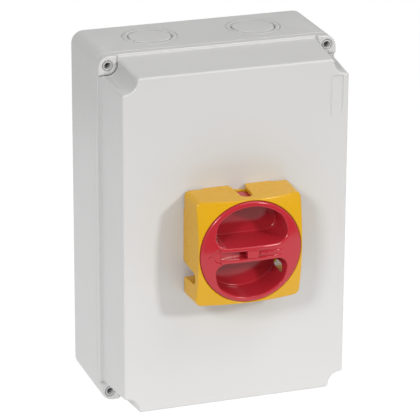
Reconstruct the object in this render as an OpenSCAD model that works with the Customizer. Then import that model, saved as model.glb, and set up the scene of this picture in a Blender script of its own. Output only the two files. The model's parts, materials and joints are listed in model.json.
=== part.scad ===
// Wall-mounted rotary isolator switch in a moulded enclosure.
// Frame: origin at the centre of the back face, +Z up, front face towards -Y, millimetres.
// Every sub-part is drawn as if the box lay on its back, with the local Z axis pointing
// out of the wall, and out_of_wall() stands it up.

/* [Enclosure] */
// Overall width of the rear box
box_w = 180; // [176:1:200]
// Overall height of the rear box
box_h = 265; // [256:1:285]
// Distance from the wall to the joint between box and cover
joint_d = 59.5; // [59.5:0.5:62]
// Distance from the wall to the front face of the cover
face_d = 108; // [107:0.5:112]
// Radius of the four long corner edges of the box
corner_r = 9; // [8:0.5:11]
// Wall thickness of the mouldings
wall = 3; // [2.8:0.1:3.2]
// Height of the plain flange at the foot of the cover
flange_h = 6; // [5:0.5:7]
// Height of the screw pads above the flange ledge
pad_h = 3; // [2:0.5:4]
// Width of the ledge where the cover wall steps in from the flange
ledge_w = 2; // [1.8:0.2:2.6]
// Further lean-in of the cover wall between ledge and front face
cover_lean = 3.4; // [1:0.2:3.6]
// Distance of the cover screws from the outer faces of the box
screw_inset = 7.1; // [6.8:0.1:7.6]

/* [Cable entries] */
// Diameter of the inner knockout (metric 32 gland)
knockout_small_d = 33.2; // [25.5:0.1:33.5]
// Diameter of the outer knockout (metric 40 gland)
knockout_large_d = 41.2; // [38:0.1:41.5]
// Distance of each knockout from the middle of the box
knockout_x = 39.6; // [36:0.2:42]

/* [Wall fixing] */
// Distance between wall screw holes across the box
fix_w = 140; // [130:1:142]
// Distance between wall screw holes up the box
fix_h = 230; // [200:1:232]
// Diameter of the wall screw holes
fix_d = 5.5; // [4.5:0.1:6]

/* [Handle] */
// Height of the handle axis above the middle of the box
axis_up = 1.2; // [0:0.2:6]
// Side of the square bezel at its foot
bezel_w = 79.6; // [79:0.2:82]
// Height of the bezel dome above the cover at the axis
dome_h = 37; // [36:0.5:38]
// Radius of the domed front of bezel and knob
dome_r = 137; // [130:1:145]
// Radius of the knob rim
knob_r = 37.9; // [37.4:0.1:37.9]
// Width of the grip bar between the two finger pockets
grip_w = 11.4; // [10.6:0.2:12]
// Travel of the lock tab when it is pulled out
tab_travel = 12; // [8:1:12]

/* [Switch] */
// Side of the square drive shaft
shaft_w = 8; // [7:0.5:8]
// Radius of the contact rotor
rotor_r = 17; // [16.5:0.5:17]
// Distance between the two contact decks
deck_pitch = 17; // [17:0.5:18]
// Distance of each pole from the axis
pole_x = 24; // [24:0.5:25]

/* [Hidden] */
$fn = 64;

grey = [0.78, 0.78, 0.77];
yellow = [0.87, 0.66, 0.16];
red = [0.76, 0.18, 0.22];
steel = [0.72, 0.73, 0.75];
brass = [0.80, 0.64, 0.30];
copper = [0.80, 0.50, 0.32];
black = [0.12, 0.12, 0.13];
ivory = [0.85, 0.82, 0.74];

over = 1;                            // how far a cutting tool runs past a surface
fit = 0.05;                          // running clearance on a radius
seam = 0.2;                          // half of the open line between box and cover

ledge_d = joint_d + flange_h;
pad_d = ledge_d + pad_h;
inner_face_d = face_d - wall;
screw_x = box_w / 2 - screw_inset;
screw_y = box_h / 2 - screw_inset;

// cover screws, sunk in the pads
screw_head_r = 2.35;
screw_shank_r = 1.75;
screw_head_h = 3;
screw_sink = 4.2;
screw_seat_d = pad_d - screw_sink - screw_head_h;
screw_tip_d = 42;
pad_r = 7.6;
notch_foot_r = 7.9;
notch_face_r = 9.4;
counterbore_r = 4.1;
counterbore_h = 1.8;

// gasket channel around the rim, passing inside the screw columns
channel_in = wall;
channel_w = 3;
column_r = 9.3;
channel_floor_d = joint_d - 4.5;
gasket_h = 2.1;

// distance of the knockouts from the wall
knockout_d = 29.8;

// rail and switch stack
rail_d = 10;
rail_h = 7.5;
rail_t = 1;
rail_half_w = 17.5;
rail_half_web = 13.5;
rail_half_len = 62;
rail_screw_x = 50;
rail_top = rail_d + rail_h;
foot_d = rail_top + 0.1;
deck_1 = 26;
deck_2 = deck_1 + deck_pitch;
plate_d = deck_2 + deck_pitch;
plate_t = 2;
detent_d = plate_d + plate_t;
detent_h = 10;
deck_half_w = pole_x + 10;
deck_1_half_h = 48;
deck_2_half_h = 34;
contact_up = 7;                      // height of a contact bar above its deck's underside
contact_t = 3;
contact_half_w = 4;
blade_half_angle = 38;
tie_x = deck_half_w - 3;
tie_y = 17;
clamp_w = 11.6;
clamp_len = 9;
clamp_h = 12.5;
clamp_lift = 2.5;
terminal_1 = 41;                     // distance of the lower terminals from the axis
terminal_2 = 27;                     // distance of the upper terminals from the axis

// earth bar
earth_y = -84;
earth_d = 8;
earth_half_len = 32;

// bezel and knob, measured up from the cover face
bezel_half = bezel_w / 2;
bezel_corner_r = 4;
bezel_draft = 0.95;                  // lean-in of each side at the height of the dome
bezel_floor = 3;
bezel_boss = 31.5;
rim_foot = 28.6;
skirt_r = 36.2;
knob_foot = 5.5;
knob_proud = 0.4;
spigot_r = 13;
pocket_r = 34.3;
pocket_half_w = 27;
pocket_corner_r = 9;
pocket_floor = 11;
pocket_lean = 1.4;
shackle_y = -19.5;
shackle_top = 26.3;
shackle_half_w = 5.6;
shackle_from = 25.2;                 // distance from the axis plane where the skirt is cut
slot_end_r = 4.4;
slot_depth = 24.5;
tab_w = 8.8;
tab_t = 5.8;
tab_foot = 13;
socket_r = 9;
socket_nose_r = 6.6;
socket_foot = 7;
socket_step = 5;
socket_top = 10.3;
seal_h = 1.5;                        // middle of the seal ring above the cover face
spigot_end = wall + 0.45;
retainer_t = 2;
retainer_x = 11;
shaft_end_d = face_d + 8;

module out_of_wall() rotate([90, 0, 0]) children();
module at_axis(d = 0) translate([0, axis_up, d]) children();
module at_face(h = 0) translate([0, axis_up, face_d + h]) children();

module mirrored_x() { children(); mirror([1, 0, 0]) children(); }
module mirrored_y() { children(); mirror([0, 1, 0]) children(); }
module four_corners(x, y) for (sx = [-1, 1], sy = [-1, 1]) translate([sx * x, sy * y, 0]) children();

// rounded rectangle, w by h, in the plane of the wall
module rounded(w, h, r) {
    square([w - 2 * r, h], center = true);
    square([w, h - 2 * r], center = true);
    for (sx = [-1, 1], sy = [-1, 1]) translate([sx * (w / 2 - r), sy * (h / 2 - r)]) circle(r);
}

// outline of the box, moved in by a distance
module outline(inset) rounded(box_w - 2 * inset, box_h - 2 * inset, max(corner_r - inset, 1));

// outline moved in, and kept clear of the screw columns
module inside_columns(inset, r) {
    difference() {
        outline(inset);
        for (sx = [-1, 1], sy = [-1, 1]) translate([sx * screw_x, sy * screw_y]) circle(r);
    }
}

// band between two such outlines
module rim_band(inset, width, r) {
    difference() {
        inside_columns(inset, r);
        inside_columns(inset + width, r + width);
    }
}

// ---------------------------------------------------------------- rear box

module knockout_grooves() {
    ring_w = 0.9;
    slit_w = 1.3;
    slit_depth = 2.6;
    slit_half = 6.5;
    for (ring = [[knockout_large_d, 0.6], [knockout_small_d, 0.9]])
        difference() {
            translate([0, 0, -ring[1]]) cylinder(d = ring[0], h = ring[1] + over);
            translate([0, 0, -ring[1] - over]) cylinder(d = ring[0] - 2 * ring_w, h = ring[1] + 3 * over);
        }
    // deep break-out slits at both sides of the inner ring
    intersection() {
        difference() {
            translate([0, 0, -slit_depth]) cylinder(d = knockout_small_d, h = slit_depth + over);
            translate([0, 0, -slit_depth - over])
                cylinder(d = knockout_small_d - 2 * slit_w, h = slit_depth + 3 * over);
        }
        cube([knockout_small_d + over, 2 * slit_half, 3 * slit_depth], center = true);
    }
}

module rear_box() {
    column_bore_r = screw_shank_r + fit;
    retainer_recess_r = 3.7;
    retainer_recess_h = 2.6;
    pillar_r = 5;
    color(grey) out_of_wall() difference() {
        union() {
            // tray
            difference() {
                linear_extrude(joint_d - seam) outline(0);
                translate([0, 0, wall]) linear_extrude(joint_d) outline(wall);
            }
            // screw columns
            intersection() {
                linear_extrude(joint_d - seam) outline(0);
                four_corners(screw_x, screw_y) cylinder(r = column_r, h = joint_d - seam);
            }
            // gasket shelf and the inner lip of the gasket channel
            translate([0, 0, channel_floor_d - wall]) linear_extrude(wall)
                rim_band(wall - 0.5, channel_w + 2.5, column_r - 0.5);
            translate([0, 0, channel_floor_d - wall]) linear_extrude(2 * wall)
                rim_band(channel_in + channel_w + 0.2, 1.8, column_r + channel_w + 0.2);
            // rail pillars and earth bar pillars
            at_axis() mirrored_x() translate([rail_screw_x, 0, 0]) cylinder(r = pillar_r, h = rail_d);
            mirrored_x() translate([earth_half_len - 5, earth_y, 0]) cylinder(r = pillar_r, h = earth_d);
            // raised rims round the wall screw holes
            four_corners(fix_w / 2, fix_h / 2) cylinder(r = 6.5, h = wall + 2);
        }
        four_corners(screw_x, screw_y) {
            translate([0, 0, screw_tip_d - 4]) cylinder(r = column_bore_r, h = joint_d);
            translate([0, 0, joint_d - seam - retainer_recess_h]) cylinder(r = retainer_recess_r, h = joint_d);
        }
        four_corners(fix_w / 2, fix_h / 2) translate([0, 0, -over]) cylinder(d = fix_d, h = wall + 4);
        at_axis() mirrored_x() translate([rail_screw_x, 0, wall / 2]) cylinder(r = 2, h = rail_d);
        mirrored_x() translate([earth_half_len - 5, earth_y, wall / 2]) cylinder(r = 1.75, h = earth_d);
        // cable entries in the top and bottom walls
        mirrored_y() mirrored_x() translate([knockout_x, box_h / 2, knockout_d])
            rotate([-90, 0, 0]) knockout_grooves();
    }
}

module box_gasket() {
    slack = 0.1;
    color(black) out_of_wall() translate([0, 0, channel_floor_d]) linear_extrude(gasket_h)
        rim_band(channel_in + slack, channel_w - 2 * slack, column_r + slack);
}

// ---------------------------------------------------------------- rail and earth bar

module mounting_rail() {
    color(steel) out_of_wall() at_axis(rail_d) difference() {
        union() {
            translate([-rail_half_len, -rail_half_web, 0]) cube([2 * rail_half_len, 2 * rail_half_web, rail_t]);
            mirrored_y() translate([-rail_half_len, rail_half_web - rail_t, 0])
                cube([2 * rail_half_len, rail_t, rail_h]);
            mirrored_y() translate([-rail_half_len, rail_half_web - rail_t, rail_h - rail_t])
                cube([2 * rail_half_len, rail_half_w - rail_half_web + rail_t, rail_t]);
        }
        mirrored_x() translate([rail_screw_x, 0, -over]) cylinder(r = 2.3, h = rail_h);
    }
}

// screw standing on the plane z = 0 with its shank below it and a cross recess in its head
module screw(head_r, head_h, shank_r, shank_len, recess_w = 0.9) {
    difference() {
        union() {
            cylinder(r = head_r, h = head_h);
            translate([0, 0, -shank_len]) cylinder(r = shank_r, h = shank_len + head_h / 2);
        }
        for (a = [0, 90]) rotate(a) translate([-0.65 * head_r, -recess_w / 2, 0.45 * head_h])
            cube([1.3 * head_r, recess_w, head_h]);
    }
}

module rail_screws() {
    color(steel) out_of_wall() at_axis(rail_d + rail_t)
        mirrored_x() translate([rail_screw_x, 0, 0]) screw(3.8, 2.6, 1.95, 9);
}

module earth_bar() {
    bar_w = 9;
    bar_h = 9;
    color(brass) out_of_wall() translate([0, earth_y, earth_d]) difference() {
        translate([-earth_half_len, -bar_w / 2, 0]) cube([2 * earth_half_len, bar_w, bar_h]);
        mirrored_x() translate([earth_half_len - 5, 0, -over]) cylinder(r = 1.8, h = bar_h + 2 * over);
        for (i = [-2:2]) translate([i * 10, 0, 0]) {
            translate([0, 0, bar_h / 2]) cylinder(r = 2, h = bar_h);
            translate([0, -bar_w, bar_h * 0.4]) rotate([-90, 0, 0]) cylinder(r = 2.6, h = 2 * bar_w);
        }
    }
}

module earth_bar_screws() {
    color(steel) out_of_wall() translate([0, earth_y, earth_d + 9]) {
        mirrored_x() translate([earth_half_len - 5, 0, 0]) screw(3.2, 2.2, 1.7, 15);
        for (i = [-2:2]) translate([i * 10, 0, 0]) screw(3.2, 2.2, 1.95, 2.5);
    }
}

// ---------------------------------------------------------------- switch body

module tie_holes(d, h) four_corners(tie_x, tie_y) translate([0, 0, d]) cylinder(r = 1.5 + fit, h = h);

module switch_foot() {
    hook_d = 14;
    color(black) out_of_wall() at_axis() difference() {
        union() {
            translate([-deck_half_w, -34, foot_d]) cube([2 * deck_half_w, 68, deck_1 - foot_d]);
            // fixed hook over the upper edge of the rail
            translate([-20, rail_half_w + 0.2, hook_d]) cube([40, 4, foot_d - hook_d + over]);
            translate([-20, rail_half_w - 2, hook_d]) cube([40, 4, rail_top - rail_t - hook_d - 0.1]);
            // guides of the rail clip
            mirrored_x() translate([8.2, -33, hook_d - 1.6]) cube([3, 14, foot_d - hook_d + 1.6 + over]);
            mirrored_x() translate([6.4, -33, hook_d - 1.6]) cube([4.8, 14, 1.5]);
        }
        tie_holes(20, 10);
    }
}

module rail_clip() {
    color(ivory) out_of_wall() at_axis() difference() {
        union() {
            translate([-8, -43, 14]) cube([16, 43 - rail_half_w - 0.2, foot_d - 14.1]);
            translate([-8, -rail_half_w - 2, 14]) cube([16, 4, rail_top - rail_t - 14.1]);
        }
        translate([0, -39, 10]) cylinder(r = 2, h = 10);
    }
}

// plan of one contact bar in the quarter x > 0, y > 0, grown by a margin
module contact_plan(reach, margin = 0) {
    w = contact_half_w + margin;
    difference() {
        union() {
            translate([pole_x - w, 5.5 - margin]) square([2 * w, reach - 5.5 + 2 * margin]);
            translate([10, 5.5 - margin]) square([pole_x - 10, 6 + 2 * margin]);
        }
        circle(rotor_r + fit + 0.01 - margin);
    }
}

module contact_set(deck, reach) {
    color(copper) out_of_wall() at_axis(deck + contact_up) mirrored_x() mirrored_y()
        linear_extrude(contact_t) contact_plan(reach);
}

// one deck: a moulded block with the rotor chamber, contact channels and terminal pockets
module deck(d, half_h, terminal, floor_t) {
    pocket_w = clamp_w + 0.4;
    at_axis(d) difference() {
        translate([-deck_half_w, -half_h, 0]) cube([2 * deck_half_w, 2 * half_h, deck_pitch]);
        translate([0, 0, floor_t]) cylinder(r = rotor_r + 0.6, h = deck_pitch);
        translate([0, 0, -over]) cylinder(r = floor_t > 0 ? 6 + fit : rotor_r + 0.6, h = deck_pitch);
        mirrored_x() mirrored_y() {
            translate([0, 0, contact_up - 0.05]) linear_extrude(deck_pitch) contact_plan(terminal + 5, 0.1);
            translate([pole_x - pocket_w / 2, terminal - clamp_len / 2 - 0.2, clamp_lift - 0.1])
                cube([pocket_w, half_h, deck_pitch]);
        }
        tie_holes(-over, deck_pitch + 2 * over);
    }
}

module lower_contact_deck() color(ivory) out_of_wall() deck(deck_1, deck_1_half_h, terminal_1, 2);
module upper_contact_deck() color(ivory) out_of_wall() deck(deck_2, deck_2_half_h, terminal_2, 0);
module lower_fixed_contacts() contact_set(deck_1, terminal_1 + 5);
module upper_fixed_contacts() contact_set(deck_2, terminal_2 + 5);

module at_terminals() for (t = [[deck_1, terminal_1], [deck_2, terminal_2]])
    at_axis(t[0]) four_corners(pole_x, t[1]) children();

module terminal_clamps() {
    frame_t = 1.5;
    color(steel) out_of_wall() at_terminals() translate([0, 0, clamp_lift]) difference() {
        translate([-clamp_w / 2, -clamp_len / 2, 0]) cube([clamp_w, clamp_len, clamp_h]);
        translate([-clamp_w / 2 + frame_t, -clamp_len, frame_t])
            cube([clamp_w - 2 * frame_t, 2 * clamp_len, clamp_h - 2 * frame_t - 1.5]);
        translate([0, 0, clamp_h - 4]) cylinder(r = 2.5, h = 10);
    }
}

module terminal_screws() {
    head_seat = clamp_lift + clamp_h;
    color(steel) out_of_wall() at_terminals() translate([0, 0, head_seat])
        screw(4.2, 2.4, 2.45, head_seat - contact_up - contact_t - 0.05, 1.2);
}

module terminal_shields() {
    plate_z = deck_2 + 2.4;
    color([0.85, 0.9, 0.95, 0.45]) out_of_wall() at_axis() mirrored_y() difference() {
        union() {
            translate([-deck_half_w, deck_2_half_h + 0.3, plate_z]) cube([2 * deck_half_w, 16, 1.5]);
            translate([-deck_half_w, deck_2_half_h + 14.8, deck_1 + 2]) cube([2 * deck_half_w, 1.5, 18.9]);
        }
        for (s = [-1, 1]) translate([s * pole_x, terminal_1, plate_z - over]) cylinder(r = 3.5, h = 4);
        for (s = [-1, 1]) translate([s * pole_x, 60, deck_1 + 8]) rotate([90, 0, 0]) cylinder(r = 5, h = 20);
    }
}

module switch_top_plate() {
    color(black) out_of_wall() at_axis(plate_d) difference() {
        translate([-deck_half_w, -21, 0]) cube([2 * deck_half_w, 42, plate_t]);
        translate([0, 0, -over]) cylinder(r = 8 + fit, h = 4);
        tie_holes(-over, 4);
    }
}

module detent_housing() {
    color(black) out_of_wall() at_axis(detent_d) difference() {
        translate([-22, -20, 0]) cube([44, 40, detent_h]);
        translate([-20, -18, -over]) cube([40, 36, detent_h - 1.5 + over]);
        translate([0, 0, -over]) cylinder(r = 7, h = detent_h + 2 * over);
    }
}

module detent_springs() {
    cam_r = 12.5;
    nose_r = 2;
    color(steel) out_of_wall() at_axis(detent_d + 2) mirrored_y() {
        translate([-18, cam_r + 2 * nose_r + 0.2, 0]) cube([36, 0.8, 5]);
        translate([0, cam_r + nose_r + 0.3, 0]) cylinder(r = nose_r, h = 5);
    }
}

module switch_tie_screws() {
    color(steel) out_of_wall() at_axis(detent_d) four_corners(tie_x, tie_y)
        screw(2.8, 2, 1.5, detent_d - 21);
}

// ---------------------------------------------------------------- rotor

// sector of a ring centred on +Y
module ring_sector(r_in, r_out, half_angle, h) {
    far = 2 * r_out;
    intersection() {
        difference() {
            cylinder(r = r_out, h = h);
            translate([0, 0, -over]) cylinder(r = r_in, h = h + 2 * over);
        }
        linear_extrude(h) polygon([
            [0, 0],
            [far * sin(half_angle), far * cos(half_angle)],
            [0, far],
            [-far * sin(half_angle), far * cos(half_angle)]
        ]);
    }
}

module rotor_drum() {
    drum_foot = deck_1 + 2.2;
    color(black) out_of_wall() at_axis() difference() {
        union() {
            translate([0, 0, drum_foot]) cylinder(r = rotor_r, h = plate_d - drum_foot - 0.2);
            translate([0, 0, deck_1]) cylinder(r = 6, h = 4);
            translate([0, 0, plate_d - over]) cylinder(r = 8, h = plate_t + over);
        }
        translate([-shaft_w / 2 - 0.03, -shaft_w / 2 - 0.03, deck_1 + 4])
            cube([shaft_w + 0.06, shaft_w + 0.06, 60]);
        for (d = [deck_1, deck_2]) translate([0, 0, d + contact_up - 0.6]) mirrored_y()
            ring_sector(rotor_r - 2.6, rotor_r + over, blade_half_angle + 0.4, contact_t + 1.2);
    }
}

module moving_contacts() {
    color(copper) out_of_wall() at_axis() for (d = [deck_1, deck_2])
        translate([0, 0, d + contact_up - 0.5]) mirrored_y()
            ring_sector(rotor_r - 2.5, rotor_r - 0.01, blade_half_angle, contact_t + 1);
}

module drive_shaft() {
    shaft_foot = deck_1 + 4;
    point_h = 2;
    color(steel) out_of_wall() at_axis() hull() {
        translate([-shaft_w / 2, -shaft_w / 2, shaft_foot])
            cube([shaft_w, shaft_w, shaft_end_d - shaft_foot - point_h]);
        translate([-shaft_w / 2 + 1, -shaft_w / 2 + 1, shaft_foot])
            cube([shaft_w - 2, shaft_w - 2, shaft_end_d - shaft_foot]);
    }
}

module detent_cam() {
    cam_r = 12.5;
    color(ivory) out_of_wall() at_axis(detent_d + 1) difference() {
        cylinder(r = cam_r, h = 6.5);
        for (a = [0:90:270]) rotate(a) translate([0, cam_r + 1.4, -over]) cylinder(r = 3, h = 9);
        translate([-shaft_w / 2 - 0.03, -shaft_w / 2 - 0.03, -over]) cube([shaft_w + 0.06, shaft_w + 0.06, 9]);
    }
}

// ---------------------------------------------------------------- cover

// thin slice of the cover body, moved in from the box outline
module cover_slice(d, inset, r) translate([0, 0, d])
    linear_extrude(0.01) rounded(box_w - 2 * inset, box_h - 2 * inset, r, $fn = 32);

module cover_body() {
    edge_r = 1.8;
    face_inset = ledge_w + cover_lean;
    hull() {
        cover_slice(ledge_d - 0.5, ledge_w, 6);
        cover_slice(face_d - edge_r, face_inset, 5);
        cover_slice(face_d - 0.3 * edge_r, face_inset + 0.3 * edge_r, 5);
        cover_slice(face_d - 0.01, face_inset + edge_r, 5);
    }
}

module cover_hollow() {
    difference() {
        hull() {
            cover_slice(ledge_d - 1.5, ledge_w + wall, 5);
            cover_slice(inner_face_d - 0.01, ledge_w + cover_lean + wall, 5);
        }
        four_corners(screw_x, screw_y) translate([0, 0, joint_d]) cylinder(r = notch_face_r + 2.6, h = face_d);
    }
}

module corner_pad() {
    reach = 2 * pad_r;
    intersection() {
        linear_extrude(pad_d) outline(0);
        four_corners(screw_x, screw_y) cylinder(r = pad_r, h = pad_d);
    }
    intersection() {
        linear_extrude(pad_d) outline(0);
        mirrored_x() mirrored_y() {
            translate([screw_x, screw_y - pad_r, 0]) cube([reach, reach * 2, pad_d]);
            translate([screw_x - pad_r, screw_y, 0]) cube([reach * 2, reach, pad_d]);
        }
    }
}

module front_cover() {
    rim_d = joint_d + seam;
    label_w = 9.2;
    label_h = 30.8;
    color(grey) out_of_wall() difference() {
        union() {
            difference() {
                union() {
                    translate([0, 0, rim_d]) linear_extrude(flange_h - seam) outline(0);
                    cover_body();
                }
                cover_hollow();
                translate([0, 0, joint_d]) linear_extrude(flange_h - 1) inside_columns(6, column_r + 3);
            }
            difference() {
                corner_pad();
                translate([0, 0, -over]) cylinder(r = box_h, h = rim_d + over);
            }
            // tongue that presses on the gasket
            translate([0, 0, channel_floor_d + gasket_h + fit]) linear_extrude(4)
                rim_band(channel_in + 0.4, channel_w - 0.8, column_r + 0.4);
        }
        four_corners(screw_x, screw_y) {
            // notch that gives the screwdriver room, widening towards the face
            translate([0, 0, pad_d]) cylinder(r1 = notch_foot_r, r2 = notch_face_r, h = face_d - pad_d);
            translate([0, 0, face_d - 0.01]) cylinder(r = notch_face_r, h = over);
            translate([0, 0, pad_d - counterbore_h]) cylinder(r = counterbore_r, h = 2 * counterbore_h);
            translate([0, 0, screw_seat_d]) cylinder(r = screw_head_r + 0.1, h = pad_d);
            translate([0, 0, joint_d - over]) cylinder(r = screw_shank_r + 0.1, h = pad_d);
        }
        // handle opening and bezel screw holes
        at_axis(inner_face_d - over) cylinder(r = spigot_r + 0.6, h = 2 * wall);
        at_axis(inner_face_d - over) four_corners(bezel_boss, bezel_boss) cylinder(r = 1.8, h = 2 * wall);
        // shallow seat for a rating label
        translate([71, 83.8, face_d - 0.5]) cube([label_w, label_h, over]);
    }
}

module cover_screws() {
    color(steel) out_of_wall() four_corners(screw_x, screw_y) translate([0, 0, screw_seat_d])
        screw(screw_head_r, screw_head_h, screw_shank_r, screw_seat_d - screw_tip_d, 0.8);
}

module screw_retainers() {
    color(black) out_of_wall() four_corners(screw_x, screw_y) translate([0, 0, joint_d - seam - 2])
        difference() {
            cylinder(r = 3.3, h = 1.8);
            translate([0, 0, -over]) cylinder(r = screw_shank_r + 0.02, h = 4);
        }
}

// slot through a side wall, running along X, open at the back and flaring towards it
module wall_slot(len) {
    straight = slot_depth - slot_end_r;
    flare_w = 6.4;
    waist_w = 5.2;
    waist_h = 6;
    rotate([90, 0, 90]) linear_extrude(len) {
        translate([0, straight]) circle(slot_end_r);
        polygon([
            [-flare_w, -over], [-flare_w, 0], [-waist_w, waist_h], [-slot_end_r, straight],
            [slot_end_r, straight], [waist_w, waist_h], [flare_w, 0], [flare_w, -over]
        ]);
    }
}

module bezel_slice(h, inset) translate([0, 0, h]) linear_extrude(0.01)
    rounded(bezel_w - 2 * inset, bezel_w - 2 * inset, bezel_corner_r, $fn = 40);

module bezel() {
    bore_r = skirt_r + 0.4;
    relief = 14;
    color(yellow) out_of_wall() at_face() difference() {
        intersection() {
            hull() {
                bezel_slice(0, 0);
                bezel_slice(dome_h, bezel_draft);
            }
            dome(0);
        }
        translate([0, 0, bezel_floor]) cylinder(r = bore_r, h = dome_h);
        translate([0, 0, rim_foot - 0.4]) cylinder(r = knob_r + 0.35, h = dome_h);
        translate([0, 0, -over]) cylinder(r = spigot_r + fit, h = dome_h);
        // groove for the seal against the cover
        difference() {
            translate([0, 0, -over]) cylinder(r = 20, h = over + 1.2);
            translate([0, 0, -2 * over]) cylinder(r = 17, h = 4);
        }
        // slots in both side walls, level with the lower finger pocket, and one in the top wall
        difference() {
            union() {
                mirrored_x() translate([22, shackle_y, 0]) wall_slot(bezel_half);
                rotate([0, 0, 90]) translate([22, 0, 0]) wall_slot(bezel_half);
            }
            translate([0, 0, -2 * over]) cylinder(r = bore_r, h = bezel_floor + 2 * over);
        }
        // relieved back edges at the corners
        four_corners(bezel_half, bezel_half) cube([2 * relief, 2 * relief, 2.8], center = true);
        four_corners(bezel_boss, bezel_boss) cylinder(r = 1.5, h = 16);
    }
}

module bezel_seal() {
    color(black) out_of_wall() at_face() difference() {
        cylinder(r = 19.9, h = 1.15);
        translate([0, 0, -over]) cylinder(r = 17.1, h = 4);
    }
}

module bezel_screws() {
    color(steel) out_of_wall() at_axis(inner_face_d) mirror([0, 0, 1])
        four_corners(bezel_boss, bezel_boss) screw(3, 2, 1.45, 12);
}

// ---------------------------------------------------------------- knob

// slice of a finger pocket above the grip bar
module pocket_slice(h, lean) {
    bar = grip_w / 2 + lean;
    side = pocket_half_w - lean / 3;
    arc_r = pocket_r - lean / 4;
    translate([0, 0, h]) {
        mirrored_x() translate([side - pocket_corner_r, bar + pocket_corner_r, 0])
            cylinder(r = pocket_corner_r, h = 0.01, $fn = 32);
        intersection() {
            cylinder(r = arc_r, h = 0.01, $fn = 96);
            translate([-side + 1, bar + pocket_corner_r, 0]) cube([2 * side - 2, arc_r, 0.01]);
        }
    }
}

module finger_pocket() {
    mouth = dome_h + 2;
    hull() {
        pocket_slice(pocket_floor, pocket_lean);
        pocket_slice(mouth, -0.3);
    }
}

module dome(proud) translate([0, 0, dome_h + proud - dome_r]) sphere(r = dome_r, $fn = 200);

// outline engraved into the dome to a given depth
module engraved(depth) difference() {
    linear_extrude(dome_h + 4) children();
    dome(knob_proud - depth);
}

module knob() {
    recess_in = tab_w / 2;
    recess_out = 23.5;
    recess_shallow = 3.6;
    recess_deep = 6.4;
    tail_floor = dome_h - 1.35;
    top = dome_h + 4;
    color(red) out_of_wall() at_face() difference() {
        union() {
            intersection() {
                dome(knob_proud);
                union() {
                    translate([0, 0, rim_foot]) cylinder(r = knob_r, h = dome_h);
                    translate([0, 0, knob_foot]) cylinder(r = skirt_r, h = dome_h - knob_foot);
                }
            }
            translate([0, 0, -spigot_end]) cylinder(r = spigot_r, h = spigot_end + knob_foot + over);
        }
        mirrored_y() finger_pocket();
        // stepped seat of the shaft socket
        translate([0, 0, -10]) cylinder(r = socket_r + 0.03, h = 10 + socket_step);
        translate([0, 0, -10]) cylinder(r = socket_nose_r + 0.03, h = 10.2 + socket_top);
        // groove of the seal ring
        difference() {
            translate([0, 0, seal_h - 0.8]) cylinder(r = spigot_r + over, h = 1.6);
            translate([0, 0, seal_h - 2]) cylinder(r = spigot_r - 1.5, h = 4);
        }
        // channel of the lock tab
        translate([-tab_w / 2 - 0.08, -tab_t / 2 - 0.08, tab_foot - 0.1]) cube([tab_w + 0.16, tab_t + 0.16, top]);
        translate([-tab_w / 2 - 2.1, -tab_t / 2 - 0.08, tab_foot - 0.1])
            cube([tab_w + 4.2, tab_t + 0.16, tab_travel + 4.3]);
        // finger recess, ramping down towards the tab
        rotate([90, 0, 0]) translate([0, 0, -tab_t / 2]) linear_extrude(tab_t) polygon([
            [-recess_in, dome_h - recess_deep], [-recess_in, top],
            [-recess_out, top], [-recess_out, dome_h - recess_shallow]
        ]);
        // tail of the pointer, running out into the dome, with a raised middle line
        translate([0, 0, tail_floor]) linear_extrude(4) difference() {
            translate([recess_in, -tab_t / 2]) square([recess_out - recess_in, tab_t]);
            translate([recess_in + 0.6, -0.7]) square([recess_out, 1.4]);
        }
        // pointer head
        engraved(1) polygon([[-32.4, 0], [-recess_out, -5.8], [-recess_out, 5.8]]);
        // shackle notches through the skirt at both ends of the lower pocket, open at the back
        mirrored_x() translate([shackle_from, shackle_y - 1.2, 0]) rotate([90, 0, 90]) linear_extrude(20) {
            translate([0, shackle_top - shackle_half_w]) circle(shackle_half_w);
            translate([-shackle_half_w, 0]) square([2 * shackle_half_w, shackle_top - shackle_half_w]);
        }
        // coring of the two plain ends, from the back
        mirrored_x() translate([29.6, -9, knob_foot - over]) cube([4, 18, 21]);
        mirrored_x() translate([retainer_x, 0, -10]) cylinder(r = 0.9, h = 14);
    }
}

module knob_seal() {
    color(black) out_of_wall() at_face(seal_h) rotate_extrude() translate([spigot_r - 0.72, 0]) circle(0.7, $fn = 24);
}

module retaining_ring() {
    color(ivory) out_of_wall() at_face(-spigot_end - fit - retainer_t) difference() {
        cylinder(r = 17, h = retainer_t);
        translate([0, 0, -over]) cylinder(r = socket_r + 0.1, h = 4);
        mirrored_x() translate([retainer_x, 0, -over]) cylinder(r = 0.9, h = 4);
    }
}

module retainer_screws() {
    color(steel) out_of_wall() at_face(-spigot_end - fit - retainer_t) mirrored_x()
        translate([retainer_x, 0, 0]) mirror([0, 0, 1]) screw(1.7, 1.2, 0.85, 5, 0.5);
}

module shaft_socket() {
    hole_w = shaft_w + 0.16;
    color(steel) out_of_wall() at_face() difference() {
        union() {
            translate([0, 0, -socket_foot]) cylinder(r = socket_r, h = socket_foot + socket_step - 0.1);
            translate([0, 0, -socket_foot]) cylinder(r = socket_nose_r, h = socket_foot + socket_top);
        }
        translate([-hole_w / 2, -hole_w / 2, -socket_foot - over])
            cube([hole_w, hole_w, socket_foot + over + socket_top - 1.9]);
    }
}

module lock_tab() {
    eye_r = 2.7;
    color(red) out_of_wall() at_face() difference() {
        intersection() {
            dome(knob_proud);
            union() {
                translate([-tab_w / 2, -tab_t / 2, tab_foot]) cube([tab_w, tab_t, 40]);
                translate([-tab_w / 2 - 2, -tab_t / 2, tab_foot]) cube([tab_w + 4, tab_t, 4]);
            }
        }
        translate([0, tab_t, dome_h - 5.5]) rotate([90, 0, 0]) cylinder(r = eye_r, h = 2 * tab_t);
    }
}

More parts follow.
